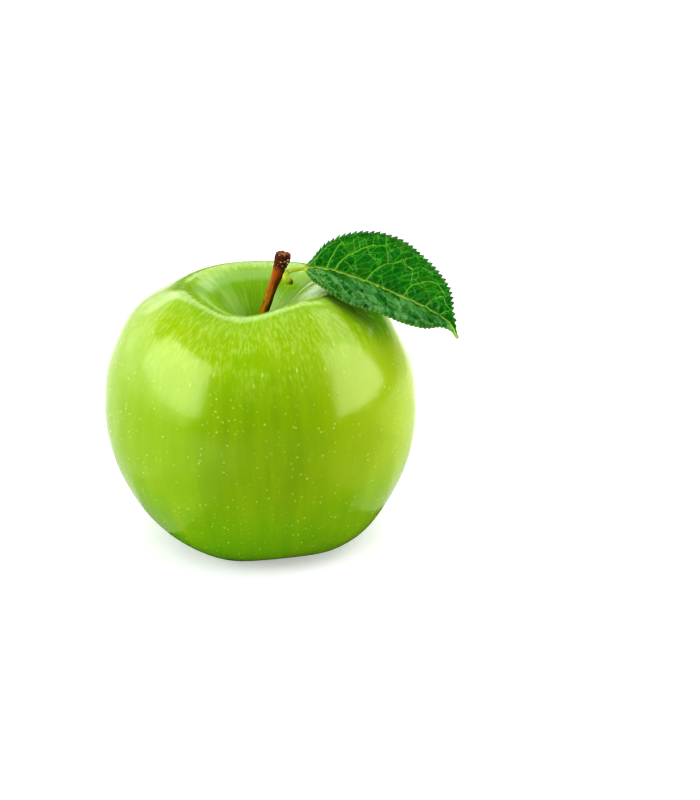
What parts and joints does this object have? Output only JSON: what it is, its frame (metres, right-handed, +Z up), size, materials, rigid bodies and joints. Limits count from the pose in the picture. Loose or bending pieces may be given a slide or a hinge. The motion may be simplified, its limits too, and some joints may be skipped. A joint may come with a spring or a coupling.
{
  "type": "green apple",
  "caption": "Whole green apple with a leaning woody stalk and one toothed leaf, standing on the lobes of its base.",
  "frame": {"origin": "under the middle of the whole thing, on the surface that the fruit rests on", "axes": "+Z up along the fruit's core line, +X toward the side that the leaf reaches over, +Y away from the side seen in the picture"},
  "size_m": [0.0894, 0.0796, 0.0792],
  "materials": {
    "skin": "smooth waxy green skin with pale dots, paler on the shoulder",
    "stalk": "dry brown bark, orange brown low down, rough at the cut end",
    "leaf": "dark green, veined and slightly glossy above, paler and dull below",
    "calyx": "dry brown sepals"
  },
  "bodies": {
    "root": {"apple": "skin", "stalk": "stalk", "leaf": "leaf", "calyx": "calyx"}
  },
  "joints": []
}
